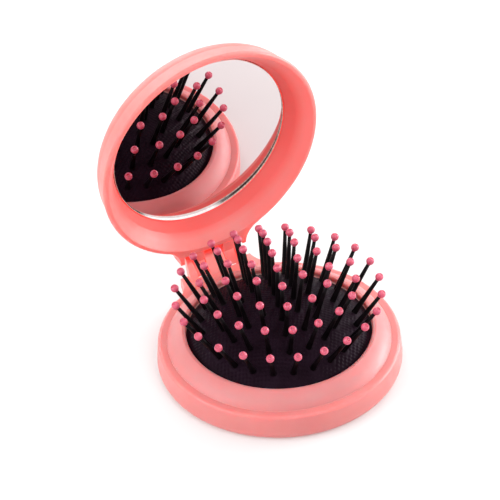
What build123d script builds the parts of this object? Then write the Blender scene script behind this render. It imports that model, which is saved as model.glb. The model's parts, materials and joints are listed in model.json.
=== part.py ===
"""Folding hairbrush with mirror.

A round pocket compact. The base holds a domed rubber pad with 61 ball-tipped bristles in four
rings, clamped by a raised ring. The lid holds a mirror and swings on a steel pin at the back.
As the lid shuts, the pad turns inside out: its middle drops and each bristle leans inward.

Frame: origin at the centre of the base's underside, +Z up, hinge at +Y with its axis along X,
lid open and bristles out. Millimetres and degrees.
"""
from build123d import *
from math import asin, atan2, cos, degrees, hypot, radians, sin, sqrt, tan
import os

# ---- base shell ----
BASE_RADIUS = 34.8            # widest, at the top of the bottom rounding
BASE_TAPER = 0.4              # the wall leans in this much up to the shoulder
SHOULDER_Z = 8.4              # flat shoulder that the lid's rim closes on
SHOULDER_WIDTH = 2.6
BOTTOM_ROUND = 2.7
EDGE_ROUND = 0.9
WALL = 1.8
FLOOR = 1.4
FLOOR_LEDGE = 6.3             # floor inside the pad's seat, round the thumb opening
RIM_DEPTH = 2.5               # height of the thickened rim that the ring snaps into
RIM_STEP = 0.9                # slope under the thickened rim

# ---- raised ring that clamps the pad ----
RING_RISE = 3.8               # lip above the shoulder
RING_SLOPE_WIDTH = 4.4
RING_LIP_WIDTH = 1.1
RING_LIP_ROUND = 0.5
RING_SLOPE_BULGE = 0.35       # how far the sloping face stands out from a straight cone
RING_SKIRT_WALL = 1.9
RING_SKIRT_DEPTH = 3.4        # skirt below the shoulder
SNAP_BEAD = 0.4
SNAP_PLAY = 0.15              # bead below the thickened rim
SNAP_RAMP = 0.3
RING_FIT = 0.05               # radial clearance of the skirt in the rim

# ---- rubber pad ----
PAD_RISE = 9.48               # crown above the dome's edge
PAD_EDGE_STEP = 0.12          # upright edge under the dome
PAD_EDGE_BELOW_LIP = 2.0
PAD_THICKNESS = 0.9
PAD_FLANGE_WIDTH = 2.7
PAD_FLANGE_THICKNESS = 1.0
PAD_EDGE_CLEARANCE = 0.15     # dome to the ring's bore
SEAT_WALL = 2.0               # upright wall in the base that carries the flange
SEAT_CLEARANCE = 0.6          # seat to the ring's skirt

# ---- bristles ----
BRISTLE_LENGTH = 13.7         # pad surface to the middle of the ball
BRISTLE_FOOT_RADIUS = 0.9
BRISTLE_TOP_RADIUS = 0.5
BALL_RADIUS = 1.15
PLUG_DEPTH = 0.55             # foot moulded into the pad
PLUG_CLEARANCE = 0.03
RING_COUNTS = (6, 12, 18, 24)
INNER_ROOT_RADIUS = 5.62      # where ring 1 stands on the pad
OUTER_ROOT_MARGIN = 4.45      # dome's edge to where ring 4 stands
PATTERN_ANGLE = 11.1          # azimuth at which all rings have a bristle
SHUT_TIP_RADII = (None, 9.3, 12.55, 15.1)   # ball circles when folded; ring 1 only drops
BALL_TO_MIRROR = 0.2          # clearance when shut

# ---- hinge ----
HINGE_BEYOND_WALL = 5.1       # axis outside the base's wall at the shoulder
HINGE_ABOVE_SHOULDER = 1.6
OPEN_ANGLE = 87.0
KNUCKLE_RADIUS = 2.45
KNUCKLE_SWING = 0.15          # clearance between a knuckle and what it turns past
KNUCKLE_GAP = 0.25            # between neighbouring knuckles
PIN_RADIUS = 0.8
PIN_RUNNING = 0.05
PIN_HALF_LENGTH = 7.5
CENTRE_KNUCKLE_HALF = 2.9
LID_KNUCKLE_WIDTH = 3.5
POST_FRONT_HALF = 9.3         # outer face of the outer posts, in front
POST_BACK_HALF = 7.6          # and at the back, where they taper
POST_TAPER_LENGTH = 6.0
POST_BACK_SETBACK = 0.65      # foot of a post's back, inside the tab's end
RAMP_INSIDE_WALL = 0.2        # the ramps in front of the posts start this far inside the wall
LID_RAMP_BACK = 1.1           # foot of a lid knuckle's ramp, behind the posts' and above the shoulder
LID_RAMP_ABOVE = 0.15

# ---- tabs that carry the hinge ----
BASE_TAB_HALF = 11.5
BASE_TAB_OVERHANG = 2.6       # beyond the base wall
BASE_TAB_THICKNESS = 4.0
BASE_TAB_EDGE = 1.2
LID_TAB_HALF = 10.7
LID_TAB_HEIGHT = 7.0
LID_TAB_ROUND = 3.6
TAB_FLARE_HALF = 15.0
TAB_ROOT_INSET = 0.9          # the flare starts this far inside the round wall
TAB_ROOT_DEPTH = 3.0
TAB_WAIST_OUT = 1.1
TAB_WAIST_IN = 0.6
TAB_TO_RING = 1.2             # tab kept clear of the ring's place

# ---- lid ----
LID_GAP = 0.15                # rim above the shoulder when shut
LID_TAPER = 1.2               # the side leans in this much up to the top rounding
LID_THICKNESS = 10.9
LID_TOP_ROUND = 5.5
LID_CROWN = 0.9
LID_RIM_WIDTH = 1.8
LID_LIP_WIDTH = 3.15          # gently sloping lip inside the rim
LID_LIP_DEPTH = 4.1
LID_WALL_WIDTH = 1.75         # steeper wall from the lip to the mirror's pocket
MIRROR_DEPTH = 7.65           # rim plane to glass
MIRROR_THICKNESS = 1.0
MIRROR_POCKET_CLEARANCE = 0.3
TAPE_INSET = 1.4              # tape inside the mirror's edge
TAPE_THICKNESS = 0.4

# ---- worked out: base, ring and pad ----
BASE_TOP_RADIUS = BASE_RADIUS - BASE_TAPER
RING_OUTER_RADIUS = BASE_TOP_RADIUS - SHOULDER_WIDTH
RING_LIP_RADIUS = RING_OUTER_RADIUS - RING_SLOPE_WIDTH - RING_LIP_WIDTH
SEAT_OUTER_RADIUS = RING_OUTER_RADIUS - RING_SKIRT_WALL - SEAT_CLEARANCE
THUMB_HOLE_RADIUS = SEAT_OUTER_RADIUS - SEAT_WALL - FLOOR_LEDGE
LIP_Z = SHOULDER_Z + RING_RISE
PAD_EDGE_Z = LIP_Z - PAD_EDGE_BELOW_LIP
PAD_EDGE_RADIUS = RING_LIP_RADIUS - PAD_EDGE_CLEARANCE
PAD_RADIUS = (PAD_EDGE_RADIUS ** 2 + PAD_RISE ** 2) / 2 / PAD_RISE   # the dome's outer sphere
CROWN_Z = PAD_EDGE_Z + PAD_EDGE_STEP + PAD_RISE
PAD_CENTRE_Z = CROWN_Z - PAD_RADIUS
FLANGE_BOTTOM_Z = PAD_EDGE_Z - PAD_FLANGE_THICKNESS
ROOT_PITCH = (PAD_EDGE_RADIUS - OUTER_ROOT_MARGIN - INNER_ROOT_RADIUS) / (len(RING_COUNTS) - 1)

# ---- worked out: hinge and lid ----
HINGE_Y = BASE_TOP_RADIUS + HINGE_BEYOND_WALL
HINGE_Z = SHOULDER_Z + HINGE_ABOVE_SHOULDER
HINGE_AXIS = Axis((0, HINGE_Y, HINGE_Z), (1, 0, 0))
LID_KNUCKLE_FROM = CENTRE_KNUCKLE_HALF + KNUCKLE_GAP
LID_KNUCKLE_TO = LID_KNUCKLE_FROM + LID_KNUCKLE_WIDTH
POST_FROM = LID_KNUCKLE_TO + KNUCKLE_GAP
RAMP_FOOT = (BASE_TOP_RADIUS - RAMP_INSIDE_WALL, SHOULDER_Z)
LID_RAMP_FOOT = (RAMP_FOOT[0] + LID_RAMP_BACK, SHOULDER_Z + LID_RAMP_ABOVE)
BASE_TAB_END = BASE_RADIUS + BASE_TAB_OVERHANG
LID_TAB_END = HINGE_Y - KNUCKLE_RADIUS - KNUCKLE_SWING
RIM_Z = SHOULDER_Z + LID_GAP
LID_SIDE_RADIUS = BASE_TOP_RADIUS - LID_TAPER
LID_MOUTH_RADIUS = BASE_TOP_RADIUS - LID_RIM_WIDTH
POCKET_RADIUS = LID_MOUTH_RADIUS - LID_LIP_WIDTH - LID_WALL_WIDTH
MIRROR_RADIUS = POCKET_RADIUS - MIRROR_POCKET_CLEARANCE
MIRROR_Z = RIM_Z + MIRROR_DEPTH

# ---- worked out: folding ----
SHUT_BALL_Z = MIRROR_Z - BALL_TO_MIRROR - BALL_RADIUS
DROP = CROWN_Z + BRISTLE_LENGTH - SHUT_BALL_Z
BALL_SEAT = BRISTLE_LENGTH - sqrt(BALL_RADIUS ** 2 - BRISTLE_TOP_RADIUS ** 2)


def turned(points_and_arcs):
    """A ring or disc: the closed outline in the XZ plane, spun about Z."""
    outline = make_face(Curve() + points_and_arcs)
    return revolve(Plane.XZ * outline, Axis.Z)


def quarter(centre, radius, start_angle):
    """A quarter circle, anticlockwise from the start angle."""
    return CenterArc(centre, radius, start_angle, 90)


def dome_arc(edge_radius, edge_z, crown_z):
    """An arc of a sphere centred on the Z axis, from its edge to its crown."""
    rise = crown_z - edge_z
    sphere = (edge_radius ** 2 + rise ** 2) / 2 / rise
    half = edge_radius / 2
    half_z = crown_z - sphere + sqrt(sphere ** 2 - half ** 2)
    return ThreePointArc((edge_radius, edge_z), (half, half_z), (0, crown_z))


def side_prism(outline, x_from, x_to):
    """An outline drawn in (y, z), standing between two places along X."""
    return extrude(Plane.YZ.offset(x_from) * outline, amount=x_to - x_from)


def tab_outline(end_y, half_width):
    """Plan of a hinge tab: it leaves the round wall in a concave flare and ends square."""
    root_y = sqrt(BASE_RADIUS ** 2 - TAB_FLARE_HALF ** 2) - TAB_ROOT_INSET
    waist = (half_width + TAB_WAIST_OUT, (root_y + end_y) / 2 - TAB_WAIST_IN)
    inside_y = root_y - TAB_ROOT_DEPTH
    left = [(-TAB_FLARE_HALF, root_y), (-waist[0], waist[1]), (-half_width, end_y)]
    right = [(half_width, end_y), (waist[0], waist[1]), (TAB_FLARE_HALF, root_y)]
    return make_face(Curve() + [
        ThreePointArc(*left),
        Line(left[2], right[0]),
        ThreePointArc(*right),
        Polyline(right[2], (TAB_FLARE_HALF, inside_y), (-TAB_FLARE_HALF, inside_y), left[0]),
    ])


def hinge_rod(radius, x_from, x_to):
    """A round bar on the hinge axis."""
    return side_prism(Pos(HINGE_Y, HINGE_Z) * Circle(radius), x_from, x_to)


def ramp_top(foot, radius):
    """Where the straight ramp from a foot touches a barrel of this radius, and its slope."""
    run = HINGE_Y - foot[0]
    rise = HINGE_Z - foot[1]
    slope = atan2(rise, run) + asin(radius / hypot(run, rise))
    return (HINGE_Y - radius * sin(slope), HINGE_Z + radius * cos(slope)), slope


def knuckle_room(x_from, x_to):
    """What the posts, with their ramps, take out of the lid."""
    slope = ramp_top(RAMP_FOOT, KNUCKLE_RADIUS)[1]
    radius = KNUCKLE_RADIUS + KNUCKLE_SWING
    start = (HINGE_Y - radius * sin(slope), HINGE_Z + radius * cos(slope))
    low_z = SHOULDER_Z - LID_TAB_HEIGHT
    low = (start[0] - (start[1] - low_z) / tan(slope), low_z)
    under_ramp = make_face(Polyline(start, low, (HINGE_Y, low_z), (HINGE_Y, HINGE_Z), start))
    return side_prism(under_ramp, x_from, x_to) + hinge_rod(radius, x_from, x_to)


def post(x_from, x_to):
    """A base hinge post: ramp and round in front, flat on top, where the open lid stops."""
    top, slope = ramp_top(RAMP_FOOT, KNUCKLE_RADIUS)
    back = HINGE_Y + KNUCKLE_RADIUS
    crest = HINGE_Z + KNUCKLE_RADIUS
    foot_z = SHOULDER_Z - BASE_TAB_THICKNESS + BASE_TAB_EDGE
    middle = (HINGE_Y - KNUCKLE_RADIUS * sin(slope / 2), HINGE_Z + KNUCKLE_RADIUS * cos(slope / 2))
    outline = make_face(Curve() + [
        Polyline((RAMP_FOOT[0], foot_z), RAMP_FOOT, top),
        ThreePointArc(top, middle, (HINGE_Y, crest)),
        Polyline((HINGE_Y, crest), (back, crest), (back, HINGE_Z),
                 (BASE_TAB_END - POST_BACK_SETBACK, foot_z), (RAMP_FOOT[0], foot_z)),
    ])
    return side_prism(outline, x_from, x_to)


def posts():
    """The middle post and the two outer ones, whose outer faces taper to the back."""
    back = HINGE_Y + KNUCKLE_RADIUS
    taper_y = back - POST_TAPER_LENGTH
    inside = -BASE_RADIUS
    plan = make_face(Polyline(
        (-POST_FRONT_HALF, inside), (-POST_FRONT_HALF, taper_y), (-POST_BACK_HALF, back),
        (POST_BACK_HALF, back), (POST_FRONT_HALF, taper_y), (POST_FRONT_HALF, inside),
        (-POST_FRONT_HALF, inside)))
    outer = post(-POST_FRONT_HALF, -POST_FROM) + post(POST_FROM, POST_FRONT_HALF)
    outer &= extrude(plan, amount=3 * SHOULDER_Z)
    return post(-CENTRE_KNUCKLE_HALF, CENTRE_KNUCKLE_HALF) + outer


def base_shell():
    """Outer wall, floor with the thumb opening, seat for the pad, hinge tab and posts."""
    inner_round = BOTTOM_ROUND - FLOOR
    wall_inside = BASE_RADIUS - WALL
    rim_bottom = SHOULDER_Z - RIM_DEPTH
    rim_inside = RING_OUTER_RADIUS
    seat_inside = SEAT_OUTER_RADIUS - SEAT_WALL
    shell = turned([
        Line((THUMB_HOLE_RADIUS, 0), (BASE_RADIUS - BOTTOM_ROUND, 0)),
        quarter((BASE_RADIUS - BOTTOM_ROUND, BOTTOM_ROUND), BOTTOM_ROUND, -90),
        Line((BASE_RADIUS, BOTTOM_ROUND), (BASE_TOP_RADIUS, SHOULDER_Z - EDGE_ROUND)),
        quarter((BASE_TOP_RADIUS - EDGE_ROUND, SHOULDER_Z - EDGE_ROUND), EDGE_ROUND, 0),
        Polyline((BASE_TOP_RADIUS - EDGE_ROUND, SHOULDER_Z), (rim_inside, SHOULDER_Z),
                 (rim_inside, rim_bottom), (wall_inside, rim_bottom - RIM_STEP),
                 (wall_inside, FLOOR + inner_round)),
        quarter((wall_inside - inner_round, FLOOR + inner_round), inner_round, -90),
        Polyline((wall_inside - inner_round, FLOOR), (SEAT_OUTER_RADIUS, FLOOR),
                 (SEAT_OUTER_RADIUS, FLANGE_BOTTOM_Z), (seat_inside, FLANGE_BOTTOM_Z),
                 (seat_inside, FLOOR), (THUMB_HOLE_RADIUS, FLOOR), (THUMB_HOLE_RADIUS, 0)),
    ])
    plan = tab_outline(BASE_TAB_END, BASE_TAB_HALF)
    tab = extrude(Pos(0, 0, SHOULDER_Z - BASE_TAB_THICKNESS) * plan, amount=BASE_TAB_THICKNESS)
    under = tab.edges().filter_by(Axis.X).group_by(Axis.Z)[0].sort_by(Axis.Y)[-1]
    tab = chamfer(under, BASE_TAB_EDGE)
    shell += tab - Cylinder(rim_inside + TAB_TO_RING, 4 * SHOULDER_Z)
    swing = hypot(HINGE_Y - LID_RAMP_FOOT[0], HINGE_Z - LID_RAMP_FOOT[1]) + KNUCKLE_SWING
    for near, far in ((-POST_FROM, -CENTRE_KNUCKLE_HALF), (CENTRE_KNUCKLE_HALF, POST_FROM)):
        shell -= hinge_rod(swing, near, far)
    return shell + posts() - hinge_rod(PIN_RADIUS, -PIN_HALF_LENGTH, POST_FRONT_HALF)


def base_ring():
    """Raised ring round the pad: rounded lip, sloping face, and a skirt that snaps in."""
    outer = RING_OUTER_RADIUS - RING_FIT
    lip_end = RING_LIP_RADIUS + RING_LIP_WIDTH
    skirt_inside = RING_OUTER_RADIUS - RING_SKIRT_WALL
    skirt_z = SHOULDER_Z - RING_SKIRT_DEPTH
    rim_bottom = SHOULDER_Z - RIM_DEPTH
    middle = ((lip_end + outer) / 2 + RING_SLOPE_BULGE, (LIP_Z + SHOULDER_Z) / 2 + RING_SLOPE_BULGE)
    return turned([
        Line((RING_LIP_RADIUS, PAD_EDGE_Z), (RING_LIP_RADIUS, LIP_Z - RING_LIP_ROUND)),
        quarter((RING_LIP_RADIUS + RING_LIP_ROUND, LIP_Z - RING_LIP_ROUND), RING_LIP_ROUND, 90),
        Line((RING_LIP_RADIUS + RING_LIP_ROUND, LIP_Z), (lip_end, LIP_Z)),
        ThreePointArc((lip_end, LIP_Z), middle, (outer, SHOULDER_Z)),
        Polyline((outer, SHOULDER_Z), (outer, rim_bottom - SNAP_PLAY),
                 (outer + SNAP_BEAD, rim_bottom - SNAP_PLAY - SNAP_RAMP), (outer, skirt_z),
                 (skirt_inside, skirt_z), (skirt_inside, PAD_EDGE_Z),
                 (RING_LIP_RADIUS, PAD_EDGE_Z)),
    ])


def root_and_lean(ring_number):
    """Where a ring's bristles stand on the dome, and their lean: (radius, height, degrees)."""
    radius = INNER_ROOT_RADIUS + (ring_number - 1) * ROOT_PITCH
    lean = asin(radius / PAD_RADIUS)
    return radius, PAD_CENTRE_Z + PAD_RADIUS * cos(lean), degrees(lean)


def bristle_places():
    """Each bristle's own frame on the dome, by ring; ring 0 is the middle one."""
    places = [[Plane((0, 0, CROWN_Z))]]
    for ring_number, count in enumerate(RING_COUNTS, start=1):
        radius, height, lean = root_and_lean(ring_number)
        ring = []
        for number in range(count):
            spin = PATTERN_ANGLE + 360 * number / count
            ring.append(Plane(Rot(0, 0, spin) * Pos(radius, 0, height) * Rot(0, lean, 0)))
        places.append(ring)
    return places


def shaft(place):
    """A bristle's tapered shaft, with its foot in the pad."""
    outline = Polyline(
        (0, -PLUG_DEPTH), (BRISTLE_FOOT_RADIUS, -PLUG_DEPTH), (BRISTLE_FOOT_RADIUS, 0),
        (BRISTLE_TOP_RADIUS, BALL_SEAT), (0, BALL_SEAT), (0, -PLUG_DEPTH))
    return place.location * turned([outline])


def ball(place):
    """The ball moulded on a bristle's end, with a flat where the shaft meets it."""
    top = BRISTLE_LENGTH + BALL_RADIUS
    outline = [
        Polyline((0, top), (0, BALL_SEAT), (BRISTLE_TOP_RADIUS, BALL_SEAT)),
        ThreePointArc((BRISTLE_TOP_RADIUS, BALL_SEAT), (BALL_RADIUS, BRISTLE_LENGTH), (0, top)),
    ]
    return place.location * turned(outline)


def bristles(places):
    """Whole bristles as one group of separate solids."""
    return Compound([piece for place in places for piece in (shaft(place), ball(place))])


def bristle_pad(places):
    """Domed rubber pad with its clamped flange and a blind hole for each bristle's foot."""
    edge = PAD_EDGE_RADIUS
    inner = PAD_RADIUS - PAD_THICKNESS

    def height(sphere, radius):
        return PAD_CENTRE_Z + sqrt(sphere ** 2 - radius ** 2)

    inside = edge - PAD_THICKNESS
    flange_end = edge + PAD_FLANGE_WIDTH
    pad = turned([
        ThreePointArc((0, CROWN_Z), (edge / 2, height(PAD_RADIUS, edge / 2)),
                      (edge, height(PAD_RADIUS, edge))),
        Polyline((edge, height(PAD_RADIUS, edge)), (edge, PAD_EDGE_Z), (flange_end, PAD_EDGE_Z),
                 (flange_end, FLANGE_BOTTOM_Z), (inside, FLANGE_BOTTOM_Z),
                 (inside, height(inner, inside))),
        ThreePointArc((inside, height(inner, inside)), (inside / 2, height(inner, inside / 2)),
                      (0, CROWN_Z - PAD_THICKNESS)),
        Line((0, CROWN_Z - PAD_THICKNESS), (0, CROWN_Z)),
    ])
    hole_radius = BRISTLE_FOOT_RADIUS + PLUG_CLEARANCE
    depth = PLUG_DEPTH + PLUG_CLEARANCE
    hole = Pos(0, 0, (1 - depth) / 2) * Cylinder(hole_radius, 1 + depth)
    return pad - [place.location * hole for ring in places for place in ring]


def lid_shell():
    """Domed cover: sloping lip and steeper wall inside, mirror pocket, two hinge knuckles."""
    side_top = LID_THICKNESS - LID_TOP_ROUND
    crown_edge = LID_SIDE_RADIUS - LID_TOP_ROUND
    ceiling = MIRROR_DEPTH + MIRROR_THICKNESS + TAPE_THICKNESS
    mouth_corner = EDGE_ROUND / 2
    rim_corner = BASE_TOP_RADIUS - EDGE_ROUND
    shell = turned([
        quarter((rim_corner, EDGE_ROUND), EDGE_ROUND, -90),
        Line((BASE_TOP_RADIUS, EDGE_ROUND), (LID_SIDE_RADIUS, side_top)),
        quarter((crown_edge, side_top), LID_TOP_ROUND, 0),
        dome_arc(crown_edge, LID_THICKNESS, LID_THICKNESS + LID_CROWN),
        Polyline((0, LID_THICKNESS + LID_CROWN), (0, ceiling), (POCKET_RADIUS, ceiling),
                 (POCKET_RADIUS, MIRROR_DEPTH), (LID_MOUTH_RADIUS - LID_LIP_WIDTH, LID_LIP_DEPTH),
                 (LID_MOUTH_RADIUS, mouth_corner), (LID_MOUTH_RADIUS + mouth_corner, 0),
                 (rim_corner, 0)),
    ])
    tab = extrude(tab_outline(LID_TAB_END, LID_TAB_HALF), amount=LID_TAB_HEIGHT)
    crest = tab.edges().filter_by(Axis.X).group_by(Axis.Z)[-1].sort_by(Axis.Y)[-1]
    tab = fillet(crest, LID_TAB_ROUND)
    shell += tab - Cylinder(LID_MOUTH_RADIUS + EDGE_ROUND, 4 * LID_TAB_HEIGHT)
    shell = Pos(0, 0, RIM_Z) * shell
    room_half = POST_FRONT_HALF + KNUCKLE_GAP
    shell -= knuckle_room(-room_half, room_half)
    for near, far in ((-LID_KNUCKLE_TO, -LID_KNUCKLE_FROM), (LID_KNUCKLE_FROM, LID_KNUCKLE_TO)):
        shell += lid_knuckle(near, far)
    return shell - hinge_rod(PIN_RADIUS + PIN_RUNNING, -POST_FRONT_HALF, POST_FRONT_HALF)


def lid_knuckle(x_from, x_to):
    """A barrel with the arm that joins it to the lid, and a ramp that shows when it is open."""
    arm_y = RAMP_FOOT[0]
    crest = HINGE_Z + KNUCKLE_RADIUS
    arm = make_face(Polyline((arm_y, RIM_Z), (HINGE_Y, RIM_Z), (HINGE_Y, crest), (arm_y, crest),
                             (arm_y, RIM_Z)))
    top = ramp_top(LID_RAMP_FOOT, KNUCKLE_RADIUS)[0]
    ramp = make_face(Polyline(LID_RAMP_FOOT, top, (HINGE_Y, HINGE_Z), (HINGE_Y, LID_RAMP_FOOT[1]),
                              LID_RAMP_FOOT))
    return (side_prism(arm, x_from, x_to) + hinge_rod(KNUCKLE_RADIUS, x_from, x_to)
            + side_prism(ramp, x_from, x_to).rotate(HINGE_AXIS, OPEN_ANGLE))


def opened(solid):
    """Swing a lid piece from shut to open."""
    return solid.rotate(HINGE_AXIS, -OPEN_ANGLE)


def hinge_pin():
    """Steel pin that the lid knuckles turn on, pressed into the base posts from the right."""
    return hinge_rod(PIN_RADIUS, -PIN_HALF_LENGTH, PIN_HALF_LENGTH)


def fold_motion(ring_number):
    """The turn that folds a ring's bristles: (pivot radius, pivot height, degrees).

    Ring 2 folds in neighbouring pairs, so it is seen in the pair's middle plane.
    """
    radius, height, lean = root_and_lean(ring_number)
    tip_radius = radius + BRISTLE_LENGTH * sin(radians(lean))
    tip_height = height + BRISTLE_LENGTH * cos(radians(lean))
    if ring_number == 2:
        share = cos(radians(180 / RING_COUNTS[1]))
        radius *= share
        tip_radius *= share
    length = hypot(tip_radius - radius, tip_height - height)
    end_lean = asin((radius - SHUT_TIP_RADII[ring_number - 1]) / length)
    end_height = SHUT_BALL_Z - length * cos(end_lean)
    turn = atan2(tip_radius - radius, tip_height - height) + end_lean
    drop = height - end_height
    return radius + drop / 2 / tan(turn / 2), (height + end_height) / 2, degrees(turn)


def parts():
    """Every node by name."""
    places = bristle_places()
    nodes = {
        "base_shell": base_shell(),
        "base_ring": base_ring(),
        "bristle_pad": bristle_pad(places),
        "hinge_pin": hinge_pin(),
        "lid_shell": opened(lid_shell()),
        "mirror": opened(Pos(0, 0, MIRROR_Z + MIRROR_THICKNESS / 2)
                         * Cylinder(MIRROR_RADIUS, MIRROR_THICKNESS)),
        "mirror_tape": opened(Pos(0, 0, MIRROR_Z + MIRROR_THICKNESS + TAPE_THICKNESS / 2)
                              * Cylinder(MIRROR_RADIUS - TAPE_INSET, TAPE_THICKNESS)),
        "bristle_centre": shaft(places[0][0]),
        "bristles_ring_1": Compound([shaft(place) for place in places[1]]),
        "balls_inner": Compound([ball(place) for place in places[0] + places[1]]),
    }
    for pair in range(RING_COUNTS[1] // 2):
        nodes[f"bristle_pair_2_{pair + 1}"] = bristles(places[2][2 * pair:2 * pair + 2])
    for ring_number in (3, 4):
        for number, place in enumerate(places[ring_number], start=1):
            nodes[f"bristle_{ring_number}_{number:02d}"] = bristles([place])
    return nodes


os.makedirs("parts", exist_ok=True)
for name, shape in parts().items():
    export_step(shape, f"parts/{name}.step")

print(f"lip {LIP_Z:.2f}, crown {CROWN_Z:.2f}, hinge ({HINGE_Y}, {HINGE_Z}), drop {DROP:.4f}")
for folding_ring in (2, 3, 4):
    pivot_radius, pivot_height, turn_angle = fold_motion(folding_ring)
    print(f"ring {folding_ring}: pivot ({pivot_radius:.4f}, {pivot_height:.4f}), "
          f"turn {turn_angle:.4f}")
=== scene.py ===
"""Folding hairbrush with mirror: the finish, the embossed pad, the bristles, and a studio round it.

Lengths are written in millimetres and turned into the frame's metres by MM, apart from those of the
studio and the camera's place, which are in metres. Colours are linear red, green and blue.
"""
import json
from math import asin, atan2, cos, pi, radians, sin, sqrt

import bmesh
import bpy
from mathutils import Matrix, Vector


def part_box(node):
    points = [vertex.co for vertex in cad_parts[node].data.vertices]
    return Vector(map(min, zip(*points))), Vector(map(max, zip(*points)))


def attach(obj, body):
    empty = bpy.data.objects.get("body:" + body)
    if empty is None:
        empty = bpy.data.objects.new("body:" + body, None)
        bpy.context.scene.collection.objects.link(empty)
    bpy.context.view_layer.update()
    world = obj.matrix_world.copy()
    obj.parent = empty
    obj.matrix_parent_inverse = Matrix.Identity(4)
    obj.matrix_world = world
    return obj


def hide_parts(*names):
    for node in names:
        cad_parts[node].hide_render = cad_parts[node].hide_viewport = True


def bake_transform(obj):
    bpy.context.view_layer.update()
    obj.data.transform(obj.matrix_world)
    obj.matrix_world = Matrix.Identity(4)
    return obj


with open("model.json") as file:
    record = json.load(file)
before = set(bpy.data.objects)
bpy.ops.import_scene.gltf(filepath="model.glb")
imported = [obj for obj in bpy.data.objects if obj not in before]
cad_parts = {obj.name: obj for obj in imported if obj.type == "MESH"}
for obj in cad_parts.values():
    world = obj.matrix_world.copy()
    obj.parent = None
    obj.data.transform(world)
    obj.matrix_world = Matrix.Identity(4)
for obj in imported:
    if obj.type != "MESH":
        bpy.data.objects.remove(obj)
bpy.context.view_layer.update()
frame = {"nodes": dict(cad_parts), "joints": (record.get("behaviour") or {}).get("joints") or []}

MM = 0.001
ON_AXIS = 1e-6                # a distance smaller than this is none

# ---- pad ----
PAD_EDGE = 26.15              # where the dome meets the ring's bore
PAD_RISE = 9.48               # crown above that edge
PAD_SPHERE = (PAD_EDGE ** 2 + PAD_RISE ** 2) / 2 / PAD_RISE
PAD_THICKNESS = 0.9
FLANGE_WIDTH = 2.7
FLANGE_THICKNESS = 1.0
EMBOSS_PITCH = 1.05
EMBOSS_HEIGHT = 0.22
EMBOSS_POWER = 0.7            # shapes a cell's top: flatter below 1
EMBOSS_STEPS = 4              # mesh cells in one pitch
EMBOSS_TURN = -33.0           # degrees
EMBOSS_BORDER = 0.9           # plain band at the pad's edge
BORDER_SLOPE = 0.4            # the embossing rises over this width inside that band
COLLAR_RADIUS = 1.75          # flat boss round each bristle's foot
COLLAR_HEIGHT = 0.14
COLLAR_SLOPE = 0.45           # width of its sloping rim
COLLAR_MARGIN = 0.3           # the embossing rises over this width outside it
FOOT_REACH = 3.0              # a foot further off than this leaves the surface as it is
WELD = 0.02                   # vertices nearer than this become one
INSIDE_RINGS = 12             # rows of faces on the dome's underside
FLAT_TOP = 5.0                # radius of the pad's middle, which drops as one
OUTER_FEET_SHARE = 0.587      # share of the crown's drop that the pad makes at the outer feet
SAG_POWER = 1.65              # shapes how that share falls between the two

# ---- bristles ----
BRISTLE_LENGTH = 13.7         # from the pad's surface to the ball's middle
RING_COUNTS = (6, 12, 18, 24)
INNER_ROOTS = 5.62            # circle on which ring 1 stands
OUTER_ROOTS = 21.7            # and ring 4
PATTERN_ANGLE = 11.1          # degrees
FOOT_RADIUS = 0.9
TOP_RADIUS = 0.5
TAPER = ((0.72, 4.5), (0.6, 9.0))   # the shaft's radius at two heights between foot and top
PLUG_DEPTH = 0.5              # of the shaft's plug in the pad
PLUG_RIM = (0.12, -0.02)      # the plug's upper rim: out from the foot, and height
FLARE_CENTRE = (0.28, 0.32)   # of the hollow curve round the foot, measured the same way
FLARE_RADIUS = 0.3
FLARE_ANGLES = (255, 183)     # degrees
FLARE_STEPS = 5
SHAFT_IN_BALL = 0.15          # how deep the shaft's end is in its ball
SHAFT_SIDES = 20
BALL_RADIUS = 1.15
BALL_ANGLES = (-62, 57)       # degrees, from its collar up to its gate mark
BALL_STEPS = 14
BALL_SIDES = 28
BALL_BOTTOM = -1.02           # where it closes on the axis in the shaft, from its middle up
BALL_COLLAR = ((0.02, -1.12), (0.12, -1.08))   # out from the shaft, and up from its middle
BALL_GATE = ((0.58, 0.90), (0.52, 0.74), (0.40, 0.70),   # the pit and stub of its gate mark:
             (0.20, 0.72), (0.14, 0.80), (0, 0.82))      # radius, and up from its middle

# ---- mirror ----
MIRROR_RADIUS = 27.4
MIRROR_THICKNESS = 1.0
MIRROR_SIDES = 192
SILVER_DEPTH = 0.5            # silvering below the glass's front, in its middle
SILVER_THICKNESS = 0.02
SILVER_TILT = 0.0172          # how fast it gets deeper towards the hinge
SILVER_TWIST = -0.0045        # and to the right
GLASS_EDGE = 0.12             # width of the ground edge seen from the front
INNER_BEVEL = (0.05, 0.04)    # width and depth of that edge's bevel beside the silvering
OUTER_BEVEL = 0.08            # and of the one at its outside
EDGE_COLOURS = ((0.40, 0.28, 0.23), (0.80, 0.68, 0.60))         # dark and light
CLEAN_EDGE_COLOURS = ((0.86, 0.88, 0.87), (0.95, 0.97, 0.95))   # and in its clean part
STAIN = (0.030, 0.010, 0.008)
STAIN_FROM = 0.30             # depth below the glass's front down to which its edge has no stain
STAIN_TO = 0.48               # and from which it has the whole
CLEAN_WAY = (-0.242, 0, -0.970)    # the way to the middle of the edge's clean part
CLEAN_FROM = -24.8            # that part starts this far that way from the origin
CLEAN_SLOPE = 1.5             # and is whole after this much more

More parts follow.
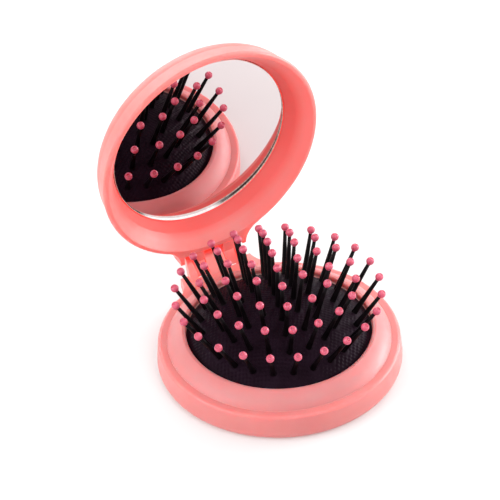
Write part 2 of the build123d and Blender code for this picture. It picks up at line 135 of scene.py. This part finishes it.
# ---- looks ----
# A Mix node's two inputs and its output for each kind of value; their names are the same in both.
MIX_SOCKETS = {"RGBA": (6, 7, 2), "VECTOR": (4, 5, 1)}
NOISE_FROM = 0.3              # a noise texture's values lie between these, nearly all of them
NOISE_TO = 0.7
COLOUR_FROM = 0.35            # and these are where a noise's two colours are reached
COLOUR_TO = 0.65
SHELTER_SAMPLES = 8
GLOW_WHOLE_BELOW = 0.25              # openness at which the painted glow in a gap is whole
GAP_PAINT_BELOW = 0.35             # and at which its painted gap colour, painted shade and light, is whole
OPEN_FROM = 0.75              # openness at which both are gone
PAINTED_GAP_GLOW = 0.38              # painted light: how strongly narrow gaps glow in the plastic's own colour
GLOW_REACH = 4.0              # how far light spreads inside the plastic
GLOW_SHARES = (1.0, 0.08, 0.06)    # and the share of that for red, green and blue
PLASTIC_IOR = 1.49
COAT_ROUGHNESS = 0.40
WALL_PAINTED_SHADE = (0.74, 0.104, 0.092)     # painted shade: the lid's darker red on the steep wall round the mirror
WALL_SHADE_FROM = 29.3       # whole up to this distance from the lid's middle,
WALL_SHADE_TO = 31.2         # and gone from this one on
WALL_SHADE_DEPTH = 0.5       # whole down to this depth below the glass's front, gone at its back
CROWN_FLAT_TO = 5.8           # radius of the evened middle of the lid's outside
CROWN_ROUND_FROM = 6.4        # radius from which the mesh's own shading is whole
HINGE_PAINTED_LIGHT = (0.82, 0.255, 0.235)    # painted light: the base lighter and warmer at its hinge, where it lies in shade
# painted shade in the hinge's gaps: a strong red there
HINGE_GAP_PAINT = (0.95, 0.080, 0.050)
HINGE_LIGHT_FROM = 30.0      # none up to this distance behind the base's middle,
HINGE_LIGHT_TO = 36.0        # and whole from this one on

# ---- camera ----
CAMERA_PLACE = (-0.329216, -0.601410, 0.587651)   # metres
CAMERA_RIGHT = (0.870745, -0.490877, -0.029045)
CAMERA_UP = (0.326317, 0.532634, 0.780909)
CAMERA_LENS = 228.56
CAMERA_SENSOR = 36            # width
CAMERA_CLIP = (0.05, 20)      # metres

# ---- studio, in metres and watts ----
FLOOR_RADIUS = 4.0
FLOOR_SIDES = 96
FLOOR_LIGHT = 0.16            # its own light, because the photograph's background is overexposed
ROOM_LIGHT = 1.02
LIGHT_TARGET = (0, 0.01, 0.02)
SOFT_BOXES = (                # name, place, width and height, power
    ("soft_box_right", (0.95, -0.1, 0.18), (0.6, 0.3), 9.2),
    ("soft_box_left", (-0.9, 0.1, 0.5), (0.7, 0.7), 6.8),
    ("soft_box_back", (0.1, 1.0, 0.4), (0.9, 0.5), 4.5),
    ("soft_box_top", (0.8, 0.45, 0.6), (0.4, 0.4), 3.2),
    ("soft_box_front", (0.0, -0.6, 0.9), (0.5, 0.5), 3.6),
)


# ---- what the materials are made from ----

def material(name):
    """A new node material: (material, its nodes, its links, its Principled shader)."""
    made = bpy.data.materials.new(name)
    made.use_nodes = True
    tree = made.node_tree
    return made, tree.nodes, tree.links, tree.nodes["Principled BSDF"]


def noise(nodes, links, size_mm, detail=3.0):
    """A noise texture in the part's own space whose features are about that size."""
    place = nodes.new("ShaderNodeTexCoord")
    texture = nodes.new("ShaderNodeTexNoise")
    texture.inputs["Scale"].default_value = 1 / (size_mm * MM)
    texture.inputs["Detail"].default_value = detail
    links.new(place.outputs["Object"], texture.inputs["Vector"])
    return texture.outputs["Fac"]


def ramp(nodes, links, factor, dark, light):
    """A colour that runs from dark to light with a noise."""
    made = nodes.new("ShaderNodeValToRGB")
    made.color_ramp.elements[0].position = COLOUR_FROM
    made.color_ramp.elements[1].position = COLOUR_TO
    made.color_ramp.elements[0].color = (*dark, 1)
    made.color_ramp.elements[1].color = (*light, 1)
    links.new(factor, made.inputs["Fac"])
    return made.outputs["Color"]


def mottled(nodes, links, shader, size_mm, dark, light):
    """Gives the shader a colour that wanders between dark and light."""
    colour = ramp(nodes, links, noise(nodes, links, size_mm), dark, light)
    links.new(colour, shader.inputs["Base Color"])


def uneven_gloss(nodes, links, shader, size_mm, low, high):
    """Gives the shader a roughness that wanders between low and high."""
    made = nodes.new("ShaderNodeMapRange")
    made.inputs["From Min"].default_value = NOISE_FROM
    made.inputs["From Max"].default_value = NOISE_TO
    made.inputs["To Min"].default_value = low
    made.inputs["To Max"].default_value = high
    links.new(noise(nodes, links, size_mm), made.inputs["Value"])
    links.new(made.outputs["Result"], shader.inputs["Roughness"])


def bump(nodes, links, shader, height, depth_mm, strength):
    """Fine relief on the shader's surface: the node that makes it."""
    made = nodes.new("ShaderNodeBump")
    made.inputs["Strength"].default_value = strength
    made.inputs["Distance"].default_value = depth_mm * MM
    links.new(height, made.inputs["Height"])
    links.new(made.outputs["Normal"], shader.inputs["Normal"])
    return made


def blended(nodes, links, factor, start, end, low, high, kind="RGBA"):
    """A colour or other value that goes from low to high as the factor goes from start to end.

    low and high are sockets to link, or fixed colours.
    """
    low_socket, high_socket, result = MIX_SOCKETS[kind]
    stretch = nodes.new("ShaderNodeMapRange")
    stretch.inputs["From Min"].default_value = start
    stretch.inputs["From Max"].default_value = end
    links.new(factor, stretch.inputs["Value"])
    mix = nodes.new("ShaderNodeMix")
    mix.data_type = kind
    links.new(stretch.outputs["Result"], mix.inputs["Factor"])
    for value, socket in ((low, mix.inputs[low_socket]), (high, mix.inputs[high_socket])):
        if isinstance(value, tuple):
            socket.default_value = (*value, 1)
        else:
            links.new(value, socket)
    return mix.outputs[result]


def shelter(nodes, reach_mm):
    """How open the surface is to its surroundings within that reach, from 0 to 1."""
    made = nodes.new("ShaderNodeAmbientOcclusion")
    made.samples = SHELTER_SAMPLES
    made.inputs["Distance"].default_value = reach_mm * MM
    return made.outputs["AO"]


def lid_place():
    """Turns a place in the shut lid into the open one, as at rest."""
    hinge = next(joint for joint in frame["joints"] if joint["name"] == "lid_hinge")
    where = Matrix.Translation(Vector(hinge["pos_m"]))
    angle = radians(hinge["range_deg"][1])
    return where @ Matrix.Rotation(-angle, 4, "X") @ where.inverted()


def glass_place():
    """The front of the mirror's glass, its Z axis into the lid."""
    swing = lid_place()
    low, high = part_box("mirror")
    shut = swing.inverted() @ ((low + high) / 2)
    return swing @ Matrix.Translation((0, 0, shut.z - MIRROR_THICKNESS / 2 * MM))


def by_glass_depth(nodes, links, start, end, low, high):
    """A colour that goes from low to high between two depths below the glass's front, in mm."""
    face = glass_place()
    axis = face.to_3x3() @ Vector((0, 0, 1))
    front = axis.dot(face.translation)
    place = nodes.new("ShaderNodeTexCoord")
    inward = nodes.new("ShaderNodeVectorMath")
    inward.operation = "DOT_PRODUCT"
    inward.inputs[1].default_value = axis
    links.new(place.outputs["Object"], inward.inputs[0])
    return blended(nodes, links, inward.outputs["Value"], front + start * MM, front + end * MM,
                   low, high)


def from_lid_axis(nodes, links):
    """Distance from the line through the middle of the open lid, in metres."""
    low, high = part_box("mirror")
    place = nodes.new("ShaderNodeTexCoord")
    flat = nodes.new("ShaderNodeVectorMath")
    flat.operation = "MULTIPLY"
    flat.inputs[1].default_value = (1, 0, 1)
    links.new(place.outputs["Object"], flat.inputs[0])
    distance = nodes.new("ShaderNodeVectorMath")
    distance.operation = "DISTANCE"
    distance.inputs[1].default_value = (0, 0, (low.z + high.z) / 2)
    links.new(flat.outputs["Vector"], distance.inputs[0])
    return distance.outputs["Value"]


def even_crown(nodes, links, relief_node):
    """Shades the middle of the lid's outside by its faces: the normal of one vertex there leans."""
    geometry = nodes.new("ShaderNodeNewGeometry")
    normal = blended(nodes, links, from_lid_axis(nodes, links), CROWN_FLAT_TO * MM,
                     CROWN_ROUND_FROM * MM, geometry.outputs["True Normal"],
                     geometry.outputs["Normal"], kind="VECTOR")
    links.new(normal, relief_node.inputs["Normal"])


def towards_hinge(nodes, links, far, near):
    """A colour that goes from far to near as the place gets closer to the hinge."""
    place = nodes.new("ShaderNodeTexCoord")
    apart = nodes.new("ShaderNodeSeparateXYZ")
    links.new(place.outputs["Object"], apart.inputs["Vector"])
    return blended(nodes, links, apart.outputs["Y"], HINGE_LIGHT_FROM * MM,
                   HINGE_LIGHT_TO * MM, far, near)


# ---- materials ----

def moulded_plastic(name, dark, light, painted_gap_colour, reach_mm, gloss, glow, coat, painted_gap_glow=PAINTED_GAP_GLOW,
                    around_mirror=False, at_hinge=False):
    """Injection-moulded, slightly translucent plastic with a faint flow pattern and a satin skin.

    Painted shade and light: in gaps narrower than reach_mm its colour turns to a set gap colour
    and the gaps glow with painted light; it gets painted shade round the mirror and painted light
    at the hinge. gloss is its range of roughness.
    """
    made, nodes, links, shader = material(name)
    colour = ramp(nodes, links, noise(nodes, links, size_mm=14), dark, light)
    if around_mirror:
        # Painted shade on the lid's steep wall round the mirror.
        wall = blended(nodes, links, from_lid_axis(nodes, links), WALL_SHADE_FROM * MM,
                       WALL_SHADE_TO * MM, WALL_PAINTED_SHADE, colour)
        colour = by_glass_depth(nodes, links, WALL_SHADE_DEPTH, MIRROR_THICKNESS, wall, colour)
    if at_hinge:
        # Painted light at the hinge, and painted shade in its gaps.
        colour = towards_hinge(nodes, links, colour, HINGE_PAINTED_LIGHT)
        painted_gap_colour = towards_hinge(nodes, links, painted_gap_colour, HINGE_GAP_PAINT)
    openness = shelter(nodes, reach_mm)
    # Painted shade and light: sheltered places take a set gap colour, darker or lighter than the
    # plastic.
    colour = blended(nodes, links, openness, GAP_PAINT_BELOW, OPEN_FROM, painted_gap_colour, colour)
    links.new(colour, shader.inputs["Base Color"])
    # Painted light: narrow gaps glow in the plastic's own colour.
    if painted_gap_glow:
        through = nodes.new("ShaderNodeMapRange")
        through.inputs["From Min"].default_value = GLOW_WHOLE_BELOW
        through.inputs["From Max"].default_value = OPEN_FROM
        through.inputs["To Min"].default_value = painted_gap_glow
        through.inputs["To Max"].default_value = 0.0
        links.new(openness, through.inputs["Value"])
        links.new(through.outputs["Result"], shader.inputs["Emission Strength"])
        links.new(colour, shader.inputs["Emission Color"])
    uneven_gloss(nodes, links, shader, size_mm=2.5, low=gloss[0], high=gloss[1])
    skin = bump(nodes, links, shader, noise(nodes, links, size_mm=0.35, detail=2.0),
                depth_mm=0.02, strength=0.10)
    if around_mirror:
        even_crown(nodes, links, skin)
    shader.inputs["Subsurface Weight"].default_value = glow
    shader.inputs["Subsurface Radius"].default_value = GLOW_SHARES
    shader.inputs["Subsurface Scale"].default_value = GLOW_REACH * MM
    shader.inputs["IOR"].default_value = PLASTIC_IOR
    shader.inputs["Coat Weight"].default_value = coat
    shader.inputs["Coat Roughness"].default_value = COAT_ROUGHNESS
    return made


def rubber():
    """Near-black rubber."""
    made, nodes, links, shader = material("pad_rubber")
    mottled(nodes, links, shader, size_mm=6, dark=(0.0055, 0.0016, 0.0040),
            light=(0.0090, 0.0034, 0.0075))
    uneven_gloss(nodes, links, shader, size_mm=0.8, low=0.40, high=0.52)
    bump(nodes, links, shader, noise(nodes, links, size_mm=0.2), depth_mm=0.015, strength=0.15)
    shader.inputs["Specular IOR Level"].default_value = 0.05
    shader.inputs["Specular Tint"].default_value = (0.9, 0.65, 0.85, 1)
    return made


def nylon():
    """Black nylon with a soft gloss and a faint grain."""
    made, nodes, links, shader = material("bristle_nylon")
    mottled(nodes, links, shader, size_mm=3, dark=(0.0015, 0.0008, 0.0012),
            light=(0.0045, 0.0025, 0.0035))
    uneven_gloss(nodes, links, shader, size_mm=0.5, low=0.30, high=0.42)
    bump(nodes, links, shader, noise(nodes, links, size_mm=0.25), depth_mm=0.01, strength=0.10)
    shader.inputs["Specular IOR Level"].default_value = 0.07
    return made


def steel():
    """Steel pin with a faint grain."""
    made, nodes, links, shader = material("pin_steel")
    mottled(nodes, links, shader, size_mm=0.6, dark=(0.42, 0.42, 0.43),
            light=(0.62, 0.62, 0.63))
    uneven_gloss(nodes, links, shader, size_mm=0.3, low=0.22, high=0.38)
    shader.inputs["Metallic"].default_value = 1.0
    return made


def silver():
    """The mirror's silvering, seen through its glass: clear, and a little warm and grey."""
    made, nodes, links, shader = material("mirror_silver")
    mottled(nodes, links, shader, size_mm=30, dark=(0.720, 0.645, 0.648),
            light=(0.735, 0.660, 0.663))
    shader.inputs["Metallic"].default_value = 1.0
    shader.inputs["Roughness"].default_value = 0.0
    return made


def ground_glass():
    """The mirror's ground edge: white towards the hinge, and stained by the backing elsewhere."""
    made, nodes, links, shader = material("mirror_edge")
    place = nodes.new("ShaderNodeTexCoord")
    across = nodes.new("ShaderNodeVectorMath")
    across.operation = "DOT_PRODUCT"
    across.inputs[1].default_value = CLEAN_WAY
    links.new(place.outputs["Object"], across.inputs[0])
    ground = ramp(nodes, links, noise(nodes, links, size_mm=0.7), *EDGE_COLOURS)
    stained = by_glass_depth(nodes, links, STAIN_FROM, STAIN_TO, ground, STAIN)
    clean = ramp(nodes, links, noise(nodes, links, size_mm=0.9), *CLEAN_EDGE_COLOURS)
    colour = blended(nodes, links, across.outputs["Value"], CLEAN_FROM * MM,
                     (CLEAN_FROM + CLEAN_SLOPE) * MM, stained, clean)
    links.new(colour, shader.inputs["Base Color"])
    uneven_gloss(nodes, links, shader, size_mm=0.4, low=0.15, high=0.35)
    return made


def foam():
    """White foam tape."""
    made, nodes, links, shader = material("tape_foam")
    mottled(nodes, links, shader, size_mm=0.4, dark=(0.62, 0.61, 0.58),
            light=(0.80, 0.79, 0.76))
    shader.inputs["Roughness"].default_value = 0.9
    bump(nodes, links, shader, noise(nodes, links, size_mm=0.3), depth_mm=0.05, strength=0.3)
    return made


def white_sweep():
    """The studio's white floor."""
    made, nodes, links, shader = material("studio_floor")
    mottled(nodes, links, shader, size_mm=200, dark=(0.55, 0.55, 0.55),
            light=(0.57, 0.57, 0.57))
    shader.inputs["Roughness"].default_value = 0.8
    shader.inputs["Emission Color"].default_value = (1, 1, 1, 1)
    shader.inputs["Emission Strength"].default_value = FLOOR_LIGHT
    return made


# ---- shapes ----

def finish_object(name, mesh, look):
    """An object with smooth faces and one material, in the scene."""
    made = bpy.data.objects.new(name, mesh)
    bpy.context.scene.collection.objects.link(made)
    mesh.materials.append(look)
    for face in mesh.polygons:
        face.use_smooth = True
    return made


def spin(bm, outline, around, sides):
    """Adds a surface of revolution to bm.

    outline is (radius, height) pairs in millimetres, from one end on the axis to the other, or a
    closed loop off the axis; around places its axis.
    """
    rows = []
    for radius, height in outline:
        if radius < ON_AXIS:
            rows.append([bm.verts.new(around @ Vector((0, 0, height * MM)))] * sides)
            continue
        row = []
        for side in range(sides):
            angle = 2 * pi * side / sides
            point = Vector((radius * cos(angle), radius * sin(angle), height)) * MM
            row.append(bm.verts.new(around @ point))
        rows.append(row)
    closed = outline[0][0] > ON_AXIS
    pairs = list(zip(rows, rows[1:])) + ([(rows[-1], rows[0])] if closed else [])
    for low, high in pairs:
        for side in range(sides):
            after = (side + 1) % sides
            corners = [low[side], low[after], high[after], high[side]]
            distinct = list(dict.fromkeys(corners))
            if len(distinct) > 2:
                bm.faces.new(distinct)


def to_mesh(bm, name):
    """bm as a mesh whose faces look outward."""
    bmesh.ops.recalc_face_normals(bm, faces=bm.faces)
    mesh = bpy.data.meshes.new(name)
    bm.to_mesh(mesh)
    bm.free()
    return mesh


def arc(centre, radius, start, end, steps):
    """Points on an arc, in degrees, ends included."""
    points = []
    for step in range(steps + 1):
        angle = radians(start + (end - start) * step / steps)
        points.append((centre[0] + radius * cos(angle), centre[1] + radius * sin(angle)))
    return points


def smooth(share):
    """0 to 1, with a gentle start and end."""
    share = min(1.0, max(0.0, share))
    return share * share * (3 - 2 * share)


def group(name, outline, places, sides, look, body):
    """One piece of one or more turned solids, riding on a body."""
    bm = bmesh.new()
    for place in places:
        spin(bm, outline, place, sides)
    made = finish_object(name, to_mesh(bm, name), look)
    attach(made, body)
    return made


# ---- bristles ----

def bristle_places():
    """A matrix for each bristle, by ring: its origin on the pad, its Z axis along the shaft."""
    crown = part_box("bristle_pad")[1].z / MM
    centre = crown - PAD_SPHERE
    places = [[Matrix.Translation((0, 0, crown * MM))]]
    pitch = (OUTER_ROOTS - INNER_ROOTS) / (len(RING_COUNTS) - 1)
    for ring_number, count in enumerate(RING_COUNTS):
        radius = INNER_ROOTS + ring_number * pitch
        lean = asin(radius / PAD_SPHERE)
        root = Vector((radius, 0, centre + PAD_SPHERE * cos(lean))) * MM
        ring = []
        for number in range(count):
            turn = radians(PATTERN_ANGLE) + 2 * pi * number / count
            ring.append(Matrix.Rotation(turn, 4, "Z") @ Matrix.Translation(root)
                        @ Matrix.Rotation(lean, 4, "Y"))
        places.append(ring)
    return places


def shaft_outline():
    """Half section of a shaft: a plug in the pad, a flared foot, a long taper, a flat end."""
    end = BRISTLE_LENGTH - sqrt(BALL_RADIUS ** 2 - TOP_RADIUS ** 2) + SHAFT_IN_BALL
    flare = arc((FOOT_RADIUS + FLARE_CENTRE[0], FLARE_CENTRE[1]), FLARE_RADIUS, *FLARE_ANGLES,
                FLARE_STEPS)
    return [(0, -PLUG_DEPTH), (FOOT_RADIUS, -PLUG_DEPTH), (FOOT_RADIUS + PLUG_RIM[0], PLUG_RIM[1]),
            *flare, *TAPER, (TOP_RADIUS, end), (0, end)]


def ball_outline():
    """Half section of a ball: a short collar on the shaft, and a gate mark at the top."""
    collar = [(TOP_RADIUS + out, BRISTLE_LENGTH + up) for out, up in BALL_COLLAR]
    body = arc((0, BRISTLE_LENGTH), BALL_RADIUS, *BALL_ANGLES, BALL_STEPS)
    gate = [(radius, BRISTLE_LENGTH + up) for radius, up in BALL_GATE]
    return [(0, BRISTLE_LENGTH + BALL_BOTTOM), *collar, *body, *gate]


def bristles(places, looks):
    """Every shaft and ball, in the groups that move together."""
    groups = {"inner": (places[0] + places[1], "bristles_inner",
                        ("bristle_centre", "bristles_ring_1"), ("balls_inner",))}
    for pair in range(RING_COUNTS[1] // 2):
        node = f"bristle_pair_2_{pair + 1}"
        groups[f"2_{pair + 1}"] = (places[2][2 * pair:2 * pair + 2], f"pair_2_{pair + 1}",
                                   (node,), (node,))
    for ring in (3, 4):
        for number, place in enumerate(places[ring], start=1):
            node = f"bristle_{ring}_{number:02d}"
            groups[f"{ring}_{number:02d}"] = ([place], f"pin_{ring}_{number:02d}", (node,), (node,))
    for label, (members, body, shaft_nodes, ball_nodes) in groups.items():
        shafts = group(f"shaft_{label}", shaft_outline(), members, SHAFT_SIDES,
                       looks["bristle_nylon"], body)
        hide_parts(*shaft_nodes)
        balls = group(f"ball_{label}", ball_outline(), members, BALL_SIDES,
                      looks["ball_pink"], body)
        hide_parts(*ball_nodes)


# ---- pad ----

def relief(x, y, feet):
    """Height of the pad's surface above its plain sphere at a place in its own grid."""
    radius = sqrt(x * x + y * y)
    near = min((sqrt((x - fx) ** 2 + (y - fy) ** 2) for fx, fy in feet), default=FOOT_REACH)
    cell = abs(sin(pi * x / EMBOSS_PITCH) * sin(pi * y / EMBOSS_PITCH)) ** EMBOSS_POWER
    border = smooth((PAD_EDGE - EMBOSS_BORDER - radius) / BORDER_SLOPE)
    margin = smooth((near - COLLAR_RADIUS) / COLLAR_MARGIN)
    collar = smooth((COLLAR_RADIUS - near) / COLLAR_SLOPE)
    return EMBOSS_HEIGHT * cell * (border * margin) + COLLAR_HEIGHT * collar


def pad_share(radius):
    """How much of the crown's drop the pad makes at a radius, as it turns inside out."""
    outward = min(1.0, max(0.0, radius - FLAT_TOP) / (OUTER_ROOTS - FLAT_TOP))
    inner = 1 - (1 - OUTER_FEET_SHARE) * outward ** SAG_POWER
    return inner * (1 - smooth((radius - OUTER_ROOTS) / (PAD_EDGE - OUTER_ROOTS)))


def pad_face(bm, centre, feet, turn):
    """The dome's embossed face: a square grid on the sphere, trimmed to the rim."""
    step = EMBOSS_PITCH / EMBOSS_STEPS
    reach = int(PAD_EDGE / step) + 1
    grid = {}

    def corner(column, row):
        """The grid's vertex, pulled onto the rim if it lies past it."""
        if (column, row) not in grid:
            x, y = column * step, row * step
            radius = sqrt(x * x + y * y)
            if radius > PAD_EDGE - step / 2:
                x, y, radius = x * PAD_EDGE / radius, y * PAD_EDGE / radius, PAD_EDGE
            close = [foot for foot in feet
                     if abs(foot[0] - x) < FOOT_REACH and abs(foot[1] - y) < FOOT_REACH]
            out = PAD_SPHERE + relief(x, y, close)
            rise = sqrt(PAD_SPHERE ** 2 - radius ** 2)
            share = out / PAD_SPHERE
            wide = share if radius < PAD_EDGE - ON_AXIS else 1.0
            point = Vector((x * wide, y * wide, centre + rise * share)) * MM
            grid[column, row] = bm.verts.new(turn @ point)
        return grid[column, row]

    def inside(column, row):
        """Whether the grid's place is on the dome, clear of its rim."""
        return sqrt(column ** 2 + row ** 2) * step < PAD_EDGE - step / 2

    for column in range(-reach, reach):
        for row in range(-reach, reach):
            cell = [(column, row), (column + 1, row), (column + 1, row + 1), (column, row + 1)]
            if sum(inside(*place) for place in cell) >= 2:
                bm.faces.new([corner(*place) for place in cell])
            elif any(inside(*place) for place in cell):
                kept = [place for place in cell if place[0] ** 2 + place[1] ** 2
                        < ((PAD_EDGE + step) / step) ** 2]
                if len(kept) >= 3:
                    bm.faces.new([corner(*place) for place in kept])
    bmesh.ops.remove_doubles(bm, verts=bm.verts, dist=WELD * MM)


def pad_back(bm, centre, edge_z, flange_bottom):
    """The flange under the ring and the plain underside, row by row from the face's rim."""
    edges = [tuple(edge.verts) for edge in bm.edges if edge.is_boundary]
    rim = list(dict.fromkeys(vertex for edge in edges for vertex in edge))
    inner_sphere = PAD_SPHERE - PAD_THICKNESS
    inner_edge = PAD_EDGE - PAD_THICKNESS
    loops = [(PAD_EDGE, edge_z), (PAD_EDGE + FLANGE_WIDTH, edge_z),
             (PAD_EDGE + FLANGE_WIDTH, flange_bottom), (inner_edge, flange_bottom)]
    for ring in range(INSIDE_RINGS):
        radius = inner_edge * (1 - ring / INSIDE_RINGS)
        loops.append((radius, centre + sqrt(inner_sphere ** 2 - radius ** 2)))
    for radius, height in loops:
        row = {}
        for vertex in rim:
            angle = atan2(vertex.co.y, vertex.co.x)
            point = Vector((radius * cos(angle), radius * sin(angle), height)) * MM
            row[vertex] = bm.verts.new(point)
        for start, end in edges:
            bm.faces.new([start, end, row[end], row[start]])
        edges = [(row[start], row[end]) for start, end in edges]
        rim = list(row.values())
    top = bm.verts.new(Vector((0, 0, (centre + inner_sphere) * MM)))
    for start, end in edges:
        bm.faces.new([start, end, top])


def pad(places, look):
    """The rubber dome; each vertex's share of the drop as it turns inside out is worked out, not
    used.
    """
    low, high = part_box("bristle_pad")
    centre = high.z / MM - PAD_SPHERE
    flange_bottom = low.z / MM
    edge_z = flange_bottom + FLANGE_THICKNESS
    turn = Matrix.Rotation(radians(EMBOSS_TURN), 4, "Z")
    back = turn.inverted()
    feet = []
    for ring in places:
        for place in ring:
            foot = back @ (place.translation / MM)
            feet.append((foot.x, foot.y))
    bm = bmesh.new()
    pad_face(bm, centre, feet, turn)
    pad_back(bm, centre, edge_z, flange_bottom)
    made = finish_object("pad_skin", to_mesh(bm, "pad_skin"), look)
    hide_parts("bristle_pad")
    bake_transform(made)
    weights = [0.0] * len(made.data.vertices)
    for vertex in made.data.vertices:
        weights[vertex.index] = pad_share(sqrt(vertex.co.x ** 2 + vertex.co.y ** 2) / MM)


# ---- mirror ----

def mirror(looks):
    """The mirror's silvering, and the ground edge of its glass standing round it."""
    face = glass_place()
    lean = Matrix.Identity(4)
    lean[2][0], lean[2][1] = SILVER_TWIST, SILVER_TILT
    inside = MIRROR_RADIUS - GLASS_EDGE
    silver_back = SILVER_DEPTH + SILVER_THICKNESS
    plate = [(0, SILVER_DEPTH), (inside, SILVER_DEPTH), (inside, silver_back), (0, silver_back)]
    edge = [(inside, INNER_BEVEL[1]), (inside + INNER_BEVEL[0], 0),
            (MIRROR_RADIUS - OUTER_BEVEL, 0), (MIRROR_RADIUS, OUTER_BEVEL),
            (MIRROR_RADIUS, MIRROR_THICKNESS), (inside, MIRROR_THICKNESS)]
    for name, outline, place in (("mirror_silver", plate, face @ lean),
                                 ("mirror_edge", edge, face)):
        made = group(name, outline, [place], MIRROR_SIDES, looks[name], "lid")
        for part in made.data.polygons:
            part.use_smooth = False
        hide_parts("mirror")


def dress(node, look):
    """A CAD node that keeps its shape gets its finish."""
    piece = frame["nodes"][node]
    piece.data.materials.clear()
    piece.data.materials.append(look)


# ---- studio ----

def area_light(name, place, size, power):
    """A soft box at a place, turned to the object."""
    light = bpy.data.lights.new(name, "AREA")
    light.shape = "RECTANGLE"
    light.size, light.size_y = size
    light.energy = power
    made = bpy.data.objects.new(name, light)
    made.location = place
    to_target = Vector(LIGHT_TARGET) - Vector(place)
    made.rotation_euler = to_target.to_track_quat("-Z", "Y").to_euler()
    bpy.context.scene.collection.objects.link(made)


def studio():
    """A white floor, a pale room and large soft boxes."""
    floor_mesh = bpy.data.meshes.new("studio_floor")
    bm = bmesh.new()
    bmesh.ops.create_circle(bm, cap_ends=True, radius=FLOOR_RADIUS, segments=FLOOR_SIDES)
    bm.to_mesh(floor_mesh)
    bm.free()
    floor = bpy.data.objects.new("studio_floor", floor_mesh)
    floor_mesh.materials.append(white_sweep())
    bpy.context.scene.collection.objects.link(floor)
    world = bpy.data.worlds.new("studio_room")
    world.use_nodes = True
    sky = world.node_tree.nodes["Background"]
    sky.inputs["Color"].default_value = (1, 1, 1, 1)
    sky.inputs["Strength"].default_value = ROOM_LIGHT
    bpy.context.scene.world = world
    for name, place, size, power in SOFT_BOXES:
        area_light(name, place, size, power)


def camera():
    """The camera at the photograph's viewing angle."""
    right, up = Vector(CAMERA_RIGHT), Vector(CAMERA_UP)
    back = right.cross(up)
    turn = Matrix((right, up, back)).transposed().to_4x4()
    data = bpy.data.cameras.new("camera")
    data.sensor_fit = "HORIZONTAL"
    data.sensor_width = CAMERA_SENSOR
    data.lens = CAMERA_LENS
    data.clip_start, data.clip_end = CAMERA_CLIP
    made = bpy.data.objects.new("camera", data)
    made.matrix_world = Matrix.Translation(CAMERA_PLACE) @ turn
    bpy.context.scene.collection.objects.link(made)
    bpy.context.scene.camera = made


def finishes():
    """Every material of the part, by name."""
    return {
        # Each plastic's gap colour below is painted shade and light.
        "base_coral": moulded_plastic(
            "base_coral", dark=(0.575, 0.176, 0.170), light=(0.605, 0.193, 0.184),
            painted_gap_colour=(0.62, 0.240, 0.220), reach_mm=1.2, gloss=(0.36, 0.46), glow=1.0, coat=0.10,
            at_hinge=True),
        "lid_coral": moulded_plastic(
            "lid_coral", dark=(0.70, 0.180, 0.165), light=(0.73, 0.197, 0.182),
            painted_gap_colour=(0.92, 0.070, 0.055), reach_mm=1.4, gloss=(0.40, 0.50), glow=1.0, coat=0.05,
            around_mirror=True),
        "ring_coral": moulded_plastic(
            "ring_coral", dark=(0.545, 0.172, 0.172), light=(0.575, 0.189, 0.187),
            painted_gap_colour=(0.68, 0.320, 0.300), reach_mm=0.8, gloss=(0.42, 0.52), glow=0.8, coat=0.05),
        "ball_pink": moulded_plastic(
            "ball_pink", dark=(0.44, 0.056, 0.110), light=(0.49, 0.071, 0.131),
            painted_gap_colour=(0.30, 0.030, 0.062), reach_mm=0.7, gloss=(0.36, 0.48), glow=0.3, coat=0.3,
            painted_gap_glow=0.0),
        "pad_rubber": rubber(),
        "bristle_nylon": nylon(),
        "pin_steel": steel(),
        "mirror_silver": silver(),
        "mirror_edge": ground_glass(),
        "tape_foam": foam(),
    }


def main():
    """Everything, in order."""
    camera()
    studio()
    bpy.context.scene.view_settings.view_transform = "Standard"
    looks = finishes()
    for node, look in (("base_shell", "base_coral"), ("lid_shell", "lid_coral"),
                       ("base_ring", "ring_coral"), ("hinge_pin", "pin_steel"),
                       ("mirror_tape", "tape_foam")):
        dress(node, looks[look])
    places = bristle_places()
    pad(places, looks["pad_rubber"])
    bristles(places, looks)
    mirror(looks)


main()
